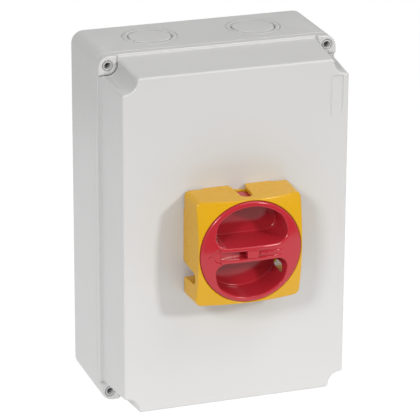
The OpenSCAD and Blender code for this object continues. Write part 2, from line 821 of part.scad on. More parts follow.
rear_box();
box_gasket();
mounting_rail();
rail_screws();
earth_bar();
earth_bar_screws();
switch_foot();
rail_clip();
lower_contact_deck();
upper_contact_deck();
switch_top_plate();
detent_housing();
detent_springs();
switch_tie_screws();
lower_fixed_contacts();
upper_fixed_contacts();
terminal_clamps();
terminal_screws();
terminal_shields();
rotor_drum();
moving_contacts();
drive_shaft();
detent_cam();
front_cover();
cover_screws();
screw_retainers();
bezel();
bezel_seal();
bezel_screws();
knob();
knob_seal();
retaining_ring();
retainer_screws();
shaft_socket();
lock_tab();
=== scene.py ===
import json
import math

import bpy
import numpy as np
from mathutils import Matrix, Vector


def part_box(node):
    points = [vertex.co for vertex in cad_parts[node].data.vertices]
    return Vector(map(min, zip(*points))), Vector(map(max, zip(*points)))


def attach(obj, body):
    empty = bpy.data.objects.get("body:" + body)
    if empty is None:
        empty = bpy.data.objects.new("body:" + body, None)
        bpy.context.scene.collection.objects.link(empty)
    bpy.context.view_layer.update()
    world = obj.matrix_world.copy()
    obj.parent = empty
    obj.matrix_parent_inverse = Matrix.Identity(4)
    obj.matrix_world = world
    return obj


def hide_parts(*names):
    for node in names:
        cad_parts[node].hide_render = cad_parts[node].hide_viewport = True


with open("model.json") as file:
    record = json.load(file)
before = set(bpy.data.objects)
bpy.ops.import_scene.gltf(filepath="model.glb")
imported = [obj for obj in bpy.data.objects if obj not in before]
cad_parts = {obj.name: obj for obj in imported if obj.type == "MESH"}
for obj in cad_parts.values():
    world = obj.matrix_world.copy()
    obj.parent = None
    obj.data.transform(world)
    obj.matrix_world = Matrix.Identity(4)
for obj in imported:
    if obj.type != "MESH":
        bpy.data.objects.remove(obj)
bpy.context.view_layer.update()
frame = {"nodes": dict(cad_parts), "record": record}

# Pieces are built in millimetres in the box's own directions: x to the right, up the wall,
# and out of the wall. World is +X right, +Z up, -Y out.

NODES = frame["nodes"]


def span(node, side):
    """Lowest and highest corner of a CAD node along x, up or out, in millimetres."""
    low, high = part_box(node)
    if side == "x":
        return low.x * 1000, high.x * 1000
    if side == "up":
        return low.z * 1000, high.z * 1000
    return -high.y * 1000, -low.y * 1000


HALF_W = span("rear_box", "x")[1]
HALF_H = span("rear_box", "up")[1]
FACE = span("front_cover", "out")[1]
AXIS = sum(span("knob", "up")) / 2
JOINT = span("rear_box", "out")[1] + 0.2
LEDGE = JOINT + 6           # step between the cover's rim and its leaning walls
PAD = JOINT + 9             # top of the pads about the cover screws
CORNER_R = 9                # rounding of the box corners, seen from the front
SCREW_INSET = 7.1           # cover screws from the sides of the box
SCREW_X = HALF_W - SCREW_INSET
SCREW_UP = HALF_H - SCREW_INSET
BEZEL_SCREW = 31.5          # bezel screws from the handle's axis, along x and along up


# ------------------------------------------------------------------ mesh helpers

def new_object(name, verts, faces):
    mesh = bpy.data.meshes.new(name)
    v = np.asarray(verts, float)
    world = np.column_stack((v[:, 0], -v[:, 2], v[:, 1])) / 1000
    mesh.from_pydata(world.tolist(), [], [list(map(int, f)) for f in faces])
    mesh.update()
    obj = bpy.data.objects.new(name, mesh)
    bpy.context.scene.collection.objects.link(obj)
    return obj


def loft(name, rings, closed=False):
    """Skin over rings of equal length, counter-clockwise seen from the front, lowest first."""
    n = len(rings[0])
    verts = [p for ring in rings for p in ring]
    faces = []
    last = len(rings) if closed else len(rings) - 1
    for i in range(last):
        a, b = i * n, ((i + 1) % len(rings)) * n
        for j in range(n):
            k = (j + 1) % n
            faces.append((a + j, a + k, b + k, b + j))
    if not closed:
        faces.append(tuple(reversed(range(n))))
        faces.append(tuple(range((len(rings) - 1) * n, len(rings) * n)))
    return new_object(name, verts, faces)


def at(outline, out):
    return [(x, u, out) for x, u in outline]


def rounded_outline(half_w, half_h, r, steps=8):
    pts = []
    for cx, cu, start in ((1, 1, 0), (-1, 1, 90), (-1, -1, 180), (1, -1, 270)):
        for i in range(steps + 1):
            a = math.radians(start + 90 * i / steps)
            pts.append((cx * (half_w - r) + r * math.cos(a), cu * (half_h - r) + r * math.sin(a)))
    return pts


def notched_outline(inset, notch, fillet, arc_steps=20, fillet_steps=5):
    """Box outline moved in, cut by round notches about the four screws, with filleted meetings."""
    half_w, half_h = HALF_W - inset, HALF_H - inset
    fx = half_w - fillet
    fu = SCREW_UP - math.sqrt((notch + fillet) ** 2 - (fx - SCREW_X) ** 2)
    gu = half_h - fillet
    gx = SCREW_X - math.sqrt((notch + fillet) ** 2 - (gu - SCREW_UP) ** 2)
    a1 = math.atan2(SCREW_UP - fu, SCREW_X - fx)
    quarter = []
    for i in range(fillet_steps + 1):
        a = a1 * i / fillet_steps
        quarter.append((fx + fillet * math.cos(a), fu + fillet * math.sin(a)))
    start = a1 - math.pi
    end = math.atan2(gu - SCREW_UP, gx - SCREW_X)
    if end > 0:
        end -= 2 * math.pi
    for i in range(1, arc_steps + 1):
        a = start + (end - start) * i / arc_steps
        quarter.append((SCREW_X + notch * math.cos(a), SCREW_UP + notch * math.sin(a)))
    a2 = math.atan2(SCREW_UP - gu, SCREW_X - gx)
    for i in range(1, fillet_steps + 1):
        a = a2 + (math.pi / 2 - a2) * i / fillet_steps
        quarter.append((gx + fillet * math.cos(a), gu + fillet * math.sin(a)))
    back = list(reversed(quarter))
    return (quarter + [(-x, u) for x, u in back]
            + [(-x, -u) for x, u in quarter] + [(x, -u) for x, u in back])


def revolved(name, profile, places, steps=40):
    """Closed solids of revolution about the out direction, one at each place (x, up)."""
    verts, faces = [], []
    for cx, cu in places:
        base = len(verts)
        for r, h in profile:
            for i in range(steps):
                a = 2 * math.pi * i / steps
                verts.append((cx + r * math.cos(a), cu + r * math.sin(a), h))
        for p in range(len(profile) - 1):
            for i in range(steps):
                k = (i + 1) % steps
                a, b = base + p * steps, base + (p + 1) * steps
                faces.append((a + i, a + k, b + k, b + i))
        faces.append(tuple(base + i for i in reversed(range(steps))))
        faces.append(tuple(base + (len(profile) - 1) * steps + i for i in range(steps)))
    return new_object(name, verts, faces)


def combine(obj, tool, operation):
    """Boolean of obj with tool, which is used up."""
    mod = obj.modifiers.new("cut", "BOOLEAN")
    mod.operation, mod.object, mod.solver = operation, tool, "EXACT"
    bpy.context.view_layer.update()
    graph = bpy.context.evaluated_depsgraph_get()
    made = bpy.data.meshes.new_from_object(obj.evaluated_get(graph))
    obj.modifiers.clear()
    obj.data = made
    bpy.data.objects.remove(tool)
    return obj


def smooth(obj, angle=32, weighted=True):
    mesh = obj.data
    mesh.shade_smooth()
    mesh.set_sharp_from_angle(angle=math.radians(angle))
    if weighted:
        mod = obj.modifiers.new("even_normals", "WEIGHTED_NORMAL")
        mod.keep_sharp = True
        mod.weight = 90
    return obj


FOUR = [(sx, su) for sx in (-1, 1) for su in (-1, 1)]
SCREWS = [(sx * SCREW_X, su * SCREW_UP) for sx, su in FOUR]


# ------------------------------------------------------------------ distance fields

def smax(a, b, r):
    """Larger of two distances, with a round of radius r where they cross."""
    return (np.minimum(-r, np.maximum(a, b))
            + np.hypot(np.maximum(a + r, 0), np.maximum(b + r, 0)))


def field_mesh(name, field, low, high, step):
    """Skins the zero surface of a distance field, then pulls each point onto it."""
    low, high = np.array(low, float), np.array(high, float)
    count = np.ceil((high - low) / step).astype(int) + 1
    axes = [low[i] + step * np.arange(count[i]) for i in range(3)]
    volume = np.empty(tuple(count), np.float32)
    for i, x in enumerate(axes[0]):
        u, h = np.meshgrid(axes[1], axes[2], indexing="ij")
        volume[i] = field(np.full_like(u, x), u, h)
    inside = volume < 0
    n = count - 1
    corners = [(i, j, k) for i in (0, 1) for j in (0, 1) for k in (0, 1)]
    total = np.zeros(tuple(n), np.int8)
    for i, j, k in corners:
        total += inside[i:i + n[0], j:j + n[1], k:k + n[2]]
    cells = np.argwhere((total > 0) & (total < 8))
    ids = np.full(tuple(n), -1, np.int64)
    ids[cells[:, 0], cells[:, 1], cells[:, 2]] = np.arange(len(cells))
    place, hits = np.zeros((len(cells), 3)), np.zeros(len(cells))
    for a in corners:
        for axis in range(3):
            if a[axis]:
                continue
            b = list(a)
            b[axis] = 1
            ca, cb = cells + a, cells + b
            va = volume[ca[:, 0], ca[:, 1], ca[:, 2]].astype(float)
            vb = volume[cb[:, 0], cb[:, 1], cb[:, 2]].astype(float)
            hit = (va < 0) != (vb < 0)
            t = va[hit] / (va[hit] - vb[hit])
            place[hit] += np.array(a) + t[:, None] * (np.array(b) - np.array(a))
            hits[hit] += 1
    points = low + (cells + place / hits[:, None]) * step
    eps = 0.02
    for _ in range(4):
        x, u, h = points.T
        value = field(x, u, h)
        slope = np.column_stack((
            field(x + eps, u, h) - field(x - eps, u, h),
            field(x, u + eps, h) - field(x, u - eps, h),
            field(x, u, h + eps) - field(x, u, h - eps))) / (2 * eps)
        size = np.maximum((slope ** 2).sum(1), 0.3)
        move = -(value / size)[:, None] * slope
        reach = np.linalg.norm(move, axis=1)
        move *= np.minimum(1, 0.4 * step / np.maximum(reach, 1e-9))[:, None]
        points += move
    quads = []
    for axis in range(3):
        e1, e2 = (axis + 1) % 3, (axis + 2) % 3
        first = [slice(None)] * 3
        second = [slice(None)] * 3
        first[axis], second[axis] = slice(0, -1), slice(1, None)
        a, b = inside[tuple(first)], inside[tuple(second)]
        for rising in (True, False):
            found = np.argwhere((a & ~b) if rising else (~a & b))
            keep = ((found[:, e1] >= 1) & (found[:, e1] <= n[e1] - 1)
                    & (found[:, e2] >= 1) & (found[:, e2] <= n[e2] - 1))
            found = found[keep]
            s1, s2 = np.zeros(3, int), np.zeros(3, int)
            s1[e1], s2[e2] = 1, 1
            around = [found - s1 - s2, found - s2, found, found - s1]
            quad = np.column_stack([ids[c[:, 0], c[:, 1], c[:, 2]] for c in around])
            quads.append(quad if rising else quad[:, ::-1])
    faces = np.vstack(quads)
    return new_object(name, points, faces)


def on_face(field):
    """A field given from the handle's axis and the cover face, in the directions of the box."""
    return lambda x, u, out: field(x, u - AXIS, out - FACE)


# ------------------------------------------------------------------ rear box

def inset_outline(inset):
    """Outline of the box moved in by a distance, keeping its corners concentric."""
    return rounded_outline(HALF_W - inset, HALF_H - inset, CORNER_R - inset)


def build_rear_box():
    """The CAD rear box, cut to an envelope with a rounded back edge and a chamfered front edge."""
    source = NODES["rear_box"].data.copy()
    obj = bpy.data.objects.new("rear_box_moulding", source)
    bpy.context.scene.collection.objects.link(obj)
    # the CAD mesh is split along its edges, and the boolean needs it whole
    weld = obj.modifiers.new("weld", "WELD")
    weld.merge_threshold = 2e-6
    bpy.context.view_layer.update()
    graph = bpy.context.evaluated_depsgraph_get()
    obj.data = bpy.data.meshes.new_from_object(obj.evaluated_get(graph))
    obj.modifiers.clear()
    r, clear, chamfer = 1.1, 0.6, 0.45
    rings = [at(rounded_outline(HALF_W - r - 0.4, HALF_H - r - 0.4, CORNER_R - r), -0.4)]
    for i in range(7):
        a = math.radians(90 * i / 6)
        rings.append(at(inset_outline(r - r * math.sin(a)), r - r * math.cos(a)))
    rings.append(at(inset_outline(-clear), r + 0.5))
    rings.append(at(inset_outline(-clear), JOINT - 0.7))
    rings.append(at(inset_outline(chamfer), JOINT - 0.1))
    combine(obj, loft("envelope", rings), "INTERSECT")
    return smooth(obj, 30)


# ------------------------------------------------------------------ cover

LEAN = 3.4                  # how far the walls lean in from the ledge to the face
STEP_IN = 2.0               # width of the ledge
EDGE_R = 1.6                # round along the edge of the face
NOTCH = 7.9                 # radius of the corner notches just above the screw pads
NOTCH_FOOT = 7.5            # the same at the pads
NOTCH_FLARE = 1.5           # how much wider the notches are at the face
NOTCH_FILLET = 2.2          # rounding where a notch meets the walls
WALL = 3.0                  # thickness of the face
WELL = 12.8                 # radius kept solid about each screw inside the cover


def cover_inset(out):
    return STEP_IN + LEAN * (out - LEDGE) / (FACE - LEDGE)


def notch_r(out):
    return NOTCH + NOTCH_FLARE * max(0.0, out - PAD) / (FACE - PAD)


def cover_flange():
    """The rim that meets the rear box, up to the ledge, with a fine groove at the joint."""
    low, groove, edge = JOINT + 0.1, 0.6, 0.7
    rings = [at(inset_outline(groove), low), at(inset_outline(groove), low + 0.3),
             at(inset_outline(0), low + 0.4)]
    for i in range(5):
        a = math.radians(90 * i / 4)
        rings.append(at(inset_outline(edge * (1 - math.cos(a))), LEDGE - edge + edge * math.sin(a)))
    return loft("front_cover_moulding", rings)


def cover_dish():
    """The raised part with its leaning walls and four notches, rounded at the face."""
    foot = 0.5
    rings = [at(notched_outline(STEP_IN - foot, NOTCH_FOOT, NOTCH_FILLET), LEDGE - 1.5)]
    for i in range(4):                      # small fillet where the wall meets the ledge
        a = math.radians(90 * i / 3)
        out = LEDGE - 0.01 + foot * (1 - math.cos(a))
        inset = cover_inset(out) - foot * (1 - math.sin(a))
        rings.append(at(notched_outline(inset, NOTCH_FOOT, NOTCH_FILLET), out))
    rings.append(at(notched_outline(cover_inset(PAD - 0.3), NOTCH_FOOT, NOTCH_FILLET), PAD - 0.3))
    for i in range(6):                      # fillet at the foot of a notch
        a = math.radians(90 * i / 5)
        out = PAD + (NOTCH - NOTCH_FOOT) * (1 - math.cos(a))
        r = NOTCH_FOOT + (NOTCH - NOTCH_FOOT) * math.sin(a)
        rings.append(at(notched_outline(cover_inset(out), r, NOTCH_FILLET), out))
    for i in range(9):                      # round along the face
        a = math.radians(90 * i / 8)
        out = FACE - EDGE_R + EDGE_R * math.sin(a)
        t = EDGE_R * (1 - math.cos(a))
        rings.append(at(notched_outline(cover_inset(FACE - EDGE_R) + t, notch_r(FACE - EDGE_R) + t,
                                        max(NOTCH_FILLET - t, 0.35)), out))
    return loft("dish", rings)


def screw_pad(sx, su):
    """Rounded pad about one cover screw, widening towards the ledge."""
    radius, flare, edge = 6.5, 0.4, 1.3
    levels = [(LEDGE - 1, 0)]
    for i in range(6):
        a = math.radians(90 * i / 5)
        levels.append((PAD - edge + edge * math.sin(a), edge * (1 - math.cos(a))))
    rings = []
    for out, t in levels:
        r, big = radius + flare * (PAD - out) - t, CORNER_R - t
        pts = [(HALF_W - t, SCREW_UP - r)]
        for i in range(9):
            a = math.radians(90 * i / 8)
            pts.append((HALF_W - CORNER_R + big * math.cos(a), HALF_H - CORNER_R + big * math.sin(a)))
        pts.append((SCREW_X - r, HALF_H - t))
        for i in range(9):
            a = math.radians(180 + 90 * i / 8)
            pts.append((SCREW_X + r * math.cos(a), SCREW_UP + r * math.sin(a)))
        pts = [(sx * x, su * u) for x, u in pts]
        if sx * su < 0:
            pts.reverse()
        rings.append(at(pts, out))
    return loft("pad", rings)


def hollow_out(cover):
    """Inside of the cover, leaving columns about the screws, and the tongue that meets the gasket."""
    inset = STEP_IN + WALL
    rings = [at(notched_outline(inset, WELL, 1.0), LEDGE - 1.4),
             at(notched_outline(inset + LEAN, WELL, 1.0), FACE - WALL - 0.4),
             at(notched_outline(inset + LEAN + 0.4, WELL + 0.4, 0.8), FACE - WALL)]
    combine(cover, loft("hollow", rings), "DIFFERENCE")
    skirt = notched_outline(6, WELL - 0.5, 1.0)
    combine(cover, loft("skirt", [at(skirt, JOINT - 1), at(skirt, LEDGE - 1)]), "DIFFERENCE")
    outer, inner = notched_outline(3.4, 9.7, 0.3), notched_outline(5.6, 11.9, 0.3)
    low, high = JOINT - 2.35, JOINT + 2
    tongue = [at(outer, low), at(outer, high), at(inner, high), at(inner, low)]
    combine(cover, loft("tongue", tongue, closed=True), "UNION")


def cut_holes(cover):
    """Bores for the cover screws, the bezel screws and the shaft."""
    # each cover screw: a stepped bore, a low round collar about it and a shallow counterbore
    combine(cover, revolved("wells", [
        (1.85, JOINT - 4), (1.85, PAD - 7.2), (2.45, PAD - 7.18), (2.45, PAD - 0.95),
        (2.55, PAD - 0.65), (2.8, PAD - 0.5), (3.0, PAD - 0.6), (3.1, PAD - 0.9), (3.15, PAD - 1.5),
        (3.3, PAD - 1.75), (3.75, PAD - 1.75), (4.0, PAD - 1.6), (4.1, PAD - 1.2), (4.15, PAD - 0.45),
        (4.6, PAD + 0.02), (5.0, PAD + 0.6)], SCREWS, 48), "DIFFERENCE")
    through = (FACE - 2 * WALL, FACE + 2)
    boss = [(sx * BEZEL_SCREW, AXIS + su * BEZEL_SCREW) for sx, su in FOUR]
    combine(cover, revolved("boss_holes", [(1.8, out) for out in through], boss, 24), "DIFFERENCE")
    combine(cover, revolved("opening", [(13.6, out) for out in through], [(0, AXIS)], 72), "DIFFERENCE")


def cut_label_seat(cover):
    """Shallow seat for a rating label with a finer line around it, fading out at its lower end."""
    left, right, bottom, top, r = 71.0, 80.2, 83.8, 114.6, 0.8

    def ring(grow, height, rise=0.0):
        """Outline grown by a distance, at a height from the face, higher at its lower end."""
        a, b, c, d = left - grow, right + grow, bottom - grow, top + grow
        outline = [(a, c), (b, c), (b, d - r), (b - 0.3 * r, d - 0.3 * r), (b - r, d),
                   (a + r, d), (a + 0.3 * r, d - 0.3 * r), (a, d - r)]
        return [(x, u, FACE + height + (rise if u < (bottom + top) / 2 else 0)) for x, u in outline]

    seat = [ring(0, -0.3, 0.28), ring(0.2, 0.02), ring(0.2, 1)]
    combine(cover, loft("label_seat", seat), "DIFFERENCE")
    trench = [ring(-0.1, -0.8, 0.65), ring(0.3, 0.02), ring(0.3, 1),
              ring(-1.3, 1), ring(-1.25, -0.2, 0.2), ring(-0.7, -0.8, 0.65)]
    combine(cover, loft("label_trench", trench, closed=True), "DIFFERENCE")


def build_cover():
    cover = cover_flange()
    combine(cover, cover_dish(), "UNION")
    for sx, su in FOUR:
        combine(cover, screw_pad(sx, su), "UNION")
    hollow_out(cover)
    cut_holes(cover)
    cut_label_seat(cover)
    return smooth(cover, 30)


# ------------------------------------------------------------------ bezel

DOME_H = 37.0               # height of the domed front at the handle's axis
DOME_R = 137.0
KNOB_R = 37.9               # the knob's rim, in the bezel's mouth
SKIRT_R = 36.2              # the knob below its rim
BEZEL_HALF = 39.8           # half the width of the bezel at the cover
BEZEL_TAPER = 0.95          # how far its walls lean in over its height
BEZEL_CORNER = 4
BORE_R = 36.6
MOUTH = 28.2                # height where the bore widens to take the knob's rim
SLOT_R = 4.4                # round end of the slots in the bezel's sides
SLOT_H = 20.1               # height of the centre of that round end
SHACKLE_UP = -19.5          # padlock slots from the handle's axis
PROUD = 0.4                 # the knob and the tab stand this much above the bezel's dome
TAB_X, TAB_U = 4.4, 2.9     # half sizes of the pull-out lock tab
TAB_LOW = 13.0


def dome(x, u, h, proud=0.0):
    top = DOME_H + proud - DOME_R
    return np.sqrt(x * x + u * u + (h - top) ** 2) - DOME_R


def bezel_field(x, u, h):
    rho = np.hypot(x, u)
    half = BEZEL_HALF - BEZEL_TAPER * h / DOME_H
    qx, qu = np.abs(x) - half + BEZEL_CORNER, np.abs(u) - half + BEZEL_CORNER
    side = (np.hypot(np.maximum(qx, 0), np.maximum(qu, 0))
            + np.minimum(np.maximum(qx, qu), 0) - BEZEL_CORNER)
    body = smax(smax(side, dome(x, u, h), 0.55), -h, 0.15)
    bore = np.maximum(rho - BORE_R, 3 - h)
    mouth = np.maximum(rho - KNOB_R - 0.25, MOUTH - h)
    body = smax(body, -bore, 0.25)
    body = smax(body, -mouth, 0.8)
    body = smax(body, 13.05 - rho, 0.2)
    body = np.maximum(body, -np.maximum(np.abs(rho - 18.5) - 1.5, h - 1.2))

    def slot(along, across):
        """Arched slot through one side, flaring a little towards the cover."""
        foot = 6
        width = SLOT_R + 0.8 * np.clip((SLOT_H - h) / (SLOT_H - foot), 0, 1)
        width = width + 1.3 * np.clip((foot - h) / foot, 0, 1) ** 2
        flat = np.maximum(np.abs(across) - width, h - SLOT_H)
        round_end = np.hypot(across, h - SLOT_H) - SLOT_R
        shape = np.minimum(flat, np.maximum(round_end, SLOT_H - h - 0.5))
        deep = np.maximum(22 - along, np.minimum(BORE_R - 0.3 - rho, 3 - h))
        return np.maximum(shape, deep)

    for cut in (slot(x, u - SHACKLE_UP), slot(-x, u - SHACKLE_UP), slot(u, x)):
        body = smax(body, -cut, 0.3)
    # behind its corners the bezel is relieved, and its screws come up from inside the cover
    relief = np.maximum(np.maximum(25.8 - np.abs(x), 25.8 - np.abs(u)), h - 1.4)
    body = np.maximum(body, -relief)
    screws = np.maximum(np.hypot(np.abs(x) - BEZEL_SCREW, np.abs(u) - BEZEL_SCREW) - 1.5, h - 16)
    return np.maximum(body, -screws)


# ------------------------------------------------------------------ knob

GRIP = 5.7                  # half the width of the grip bar
FLOOR = 11.0                # floor of the finger pockets above the cover face
SHACKLE_TOP = 26.3          # padlock notches through the skirt
SHACKLE_HALF_W = 5.6
RECESS_END = 23.5           # finger recess and tail, from the axis


def pocket(x, u, h):
    """The upper finger pocket: a rounded trough whose walls lean in towards its floor."""
    depth = np.clip((DOME_H - h) / (DOME_H - FLOOR), -0.2, 1.1)
    bar = GRIP + 1.4 * depth - u
    side = np.abs(x) - (27.0 - 0.9 * depth)
    arc = np.hypot(x, u) - (34.1 - 0.8 * depth)
    plan = smax(smax(bar, side, 8.6), arc, 5.0)
    return smax(plan, FLOOR - h, 1.1)


def knob_field(x, u, h):
    rho = np.hypot(x, u)
    front = dome(x, u, h, PROUD)
    rim = smax(rho - KNOB_R, 28.6 - h, 0.3)
    skirt = smax(rho - SKIRT_R, 5.5 - h, 0.4)
    body = smax(np.minimum(rim, skirt), front, 1.3)
    spigot = smax(rho - 13, np.maximum(-3.45 - h, h - 8), 0.3)
    body = np.minimum(body, spigot)
    for lobe in (pocket(x, u, h), pocket(x, -u, h)):
        body = smax(body, -lobe, 1.25)
    bore = np.minimum(np.maximum(rho - 9.03, h - 5), np.maximum(rho - 6.63, h - 10.5))
    body = np.maximum(body, -bore)
    body = np.maximum(body, -np.maximum(np.abs(rho - 12.75) - 1.25, np.abs(h - 1.5) - 0.8))
    # guide for the lock tab, wider below for its foot
    along_u = np.maximum(np.abs(u) - TAB_U - 0.08, TAB_LOW - 0.1 - h)
    body = smax(body, -np.maximum(np.abs(x) - TAB_X - 0.08, along_u), 0.2)
    body = np.maximum(body, -np.maximum(np.abs(x) - 6.5, np.maximum(along_u, h - 29.2)))
    # finger recess on the pointer side, ramping down to the tab
    ramp = DOME_H - 3.6 - 2.8 * (x + RECESS_END) / (RECESS_END - TAB_X)
    recess = np.maximum(np.abs(u) - TAB_U, np.maximum(x + 4.0, -RECESS_END - x))
    recess = smax(recess, (ramp - h) * 0.98, 0.6)
    body = smax(body, -recess, 0.35)
    # tail on the other side, running out into the dome, with a raised middle line
    tail = np.maximum(np.abs(u) - TAB_U, np.maximum(4.0 - x, x - RECESS_END))
    tail = np.maximum(tail, np.minimum(0.75 - np.abs(u), x - 5.0))
    body = smax(body, -np.maximum(tail, DOME_H - 1.35 - h), 0.3)
    # arrowhead, open to the recess
    slope = np.array([8.9, 5.9]) / math.hypot(8.9, 5.9)
    head = np.maximum(x + 23.4, np.abs(u) * slope[0] - (x + 32.4) * slope[1])
    body = smax(body, -np.maximum(head, -(front + 1.0)), 0.2)
    # shackle notches through the skirt at the ends of the lower pocket, open at the back
    across, rise = np.abs(u - SHACKLE_UP + 1.2), h - SHACKLE_TOP + SHACKLE_HALF_W
    notch = np.where(rise > 0, np.hypot(across, rise), across) - SHACKLE_HALF_W
    body = smax(body, -np.maximum(notch, 25.2 - np.abs(x)), 0.5)
    # cores behind the ends of the grip bar, and pilot holes for the screws of its retaining ring
    core = np.maximum(np.abs(np.abs(x) - 31.6) - 2.0, np.maximum(np.abs(u) - 9, h - 25.5))
    body = np.maximum(body, -core)
    pilot = np.maximum(np.hypot(np.abs(x) - 11, u) - 0.9, h - 4)
    return np.maximum(body, -pilot)


def tab_field(x, u, h):
    """Stem with a wider foot below, and an eye for a padlock once it is pulled out."""
    stem = smax(np.abs(x) - TAB_X, np.abs(u) - TAB_U, 0.35)
    stem = smax(stem, TAB_LOW - h, 0.3)
    foot = smax(smax(np.abs(x) - 6.4, np.abs(u) - TAB_U, 0.35), np.abs(h - TAB_LOW - 2) - 2, 0.3)
    body = smax(np.minimum(stem, foot), dome(x, u, h, PROUD), 0.35)
    eye = np.hypot(x, h - 31.5) - 2.7
    return smax(body, -eye, 0.3)


# ------------------------------------------------------------------ materials

class Nodes:
    """Short calls for building a node tree."""

    def __init__(self, name):
        self.mat = bpy.data.materials.new(name)
        self.mat.use_nodes = True
        self.tree = self.mat.node_tree
        self.tree.nodes.clear()
        self.out = self.add("ShaderNodeOutputMaterial")
        self.bsdf = self.add("ShaderNodeBsdfPrincipled")
        self.link(self.bsdf.outputs[0], self.out.inputs[0])
        self.place = self.add("ShaderNodeTexCoord").outputs["Object"]

    def add(self, kind, **values):
        node = self.tree.nodes.new(kind)
        for key, value in values.items():
            setattr(node, key, value)
        return node

    def link(self, a, b):
        self.tree.links.new(a, b)

    def noise(self, scale, detail=3.0, stretch=None):
        tex = self.add("ShaderNodeTexNoise")
        tex.inputs["Scale"].default_value = scale
        tex.inputs["Detail"].default_value = detail
        source = self.place
        if stretch:
            mapping = self.add("ShaderNodeMapping")
            mapping.inputs["Scale"].default_value = stretch
            self.link(source, mapping.inputs["Vector"])
            source = mapping.outputs[0]
        self.link(source, tex.inputs["Vector"])
        return tex.outputs["Fac"]

    def spread(self, value, low, high, lo_in=0.3, hi_in=0.7):
        node = self.add("ShaderNodeMapRange")
        for key, number in zip(("From Min", "From Max", "To Min", "To Max"), (lo_in, hi_in, low, high)):
            node.inputs[key].default_value = number
        self.link(value, node.inputs["Value"])
        return node.outputs[0]

    def mix(self, factor, a, b):
        node = self.add("ShaderNodeMix", data_type="RGBA")
        self.set(node.inputs[0], factor)
        self.set(node.inputs[6], a)
        self.set(node.inputs[7], b)
        return node.outputs[2]

    def set(self, socket, value):
        if hasattr(value, "is_linked"):
            self.link(value, socket)
        elif isinstance(value, (tuple, list)):
            socket.default_value = (*value[:3], 1)
        else:
            socket.default_value = value

    def edges(self, radius, amount):
        """0 on flat areas, rising to amount on edges."""
        bevel = self.add("ShaderNodeBevel", samples=4)
        bevel.inputs["Radius"].default_value = radius
        geometry = self.add("ShaderNodeNewGeometry")
        dot = self.add("ShaderNodeVectorMath", operation="DOT_PRODUCT")
        self.link(bevel.outputs[0], dot.inputs[0])
        self.link(geometry.outputs["Normal"], dot.inputs[1])
        return self.spread(dot.outputs["Value"], amount, 0.0, 0.75, 0.985)

    def bump(self, height, strength, distance, normal=None):
        node = self.add("ShaderNodeBump")
        node.inputs["Strength"].default_value = strength
        node.inputs["Distance"].default_value = distance
        self.link(height, node.inputs["Height"])
        if normal is not None:
            self.link(normal, node.inputs["Normal"])
        return node.outputs[0]


def shade(color, factor):
    return tuple(min(1.0, c * factor) for c in color[:3])


def moulded(name, color, rough=0.4, grain=0.25, tone=0.03, wear_and_edge_highlight=0.12, spec=0.5):
    """Injection-moulded plastic: fine spark-eroded grain, slow tone drift, and rounded edges painted
    lighter, partly as wear and partly as a painted highlight.
    """
    n = Nodes(name)
    drift = n.spread(n.noise(14, 2), 0, 1)
    base = n.mix(drift, shade(color, 1 - tone), shade(color, 1 + tone))
    speck = n.spread(n.noise(900, 2), 0, 1, 0.35, 0.65)
    base = n.mix(n.spread(speck, 0, 0.2, 0, 1), base, shade(color, 1 - 1.5 * tone))
    # edges mixed towards a lighter colour: partly wear, partly a painted highlight along the rounded
    # edges
    base = n.mix(n.edges(0.0005, wear_and_edge_highlight), base, shade(color, 1.25))
    n.set(n.bsdf.inputs["Base Color"], base)
    n.set(n.bsdf.inputs["Roughness"], n.spread(n.noise(60, 3), rough - 0.02, rough + 0.03))
    n.set(n.bsdf.inputs["Specular IOR Level"], spec)
    fine = n.bump(n.noise(2600, 3), grain, 0.00002)
    n.link(n.bump(n.noise(45, 1), 0.06, 0.0002, fine), n.bsdf.inputs["Normal"])
    return n.mat


def metal(name, color, rough, stretch=(1, 1, 14), wear_and_edge_highlight=0.25):
    """Plated or rolled metal: drawn streaks, faint staining, brighter edges."""
    n = Nodes(name)
    streak = n.noise(700, 4, stretch)
    base = n.mix(n.spread(n.noise(110, 4), 0, 0.5), color, shade(color, 0.72))
    base = n.mix(n.edges(0.0003, wear_and_edge_highlight), base, shade(color, 1.35))
    n.set(n.bsdf.inputs["Base Color"], base)
    n.set(n.bsdf.inputs["Metallic"], 1.0)
    n.set(n.bsdf.inputs["Roughness"], n.spread(streak, rough - 0.1, rough + 0.14))
    n.link(n.bump(streak, 0.18, 0.00003), n.bsdf.inputs["Normal"])
    return n.mat


def rubber(name, color):
    n = Nodes(name)
    bloom = n.spread(n.noise(160, 5), 0, 0.6)
    n.set(n.bsdf.inputs["Base Color"], n.mix(bloom, color, shade(color, 2.4)))
    n.set(n.bsdf.inputs["Roughness"], n.spread(n.noise(300, 3), 0.62, 0.85))
    n.link(n.bump(n.noise(2200, 3), 0.4, 0.00004), n.bsdf.inputs["Normal"])
    return n.mat


def clear_plastic(name):
    n = Nodes(name)
    n.set(n.bsdf.inputs["Base Color"], n.mix(n.noise(30, 2), (0.84, 0.90, 0.94), (0.92, 0.96, 0.98)))
    n.set(n.bsdf.inputs["Transmission Weight"], 0.92)
    n.set(n.bsdf.inputs["IOR"], 1.2)
    n.set(n.bsdf.inputs["Roughness"], n.spread(n.noise(260, 4), 0.04, 0.16))
    n.link(n.bump(n.noise(120, 3), 0.08, 0.0001), n.bsdf.inputs["Normal"])
    return n.mat


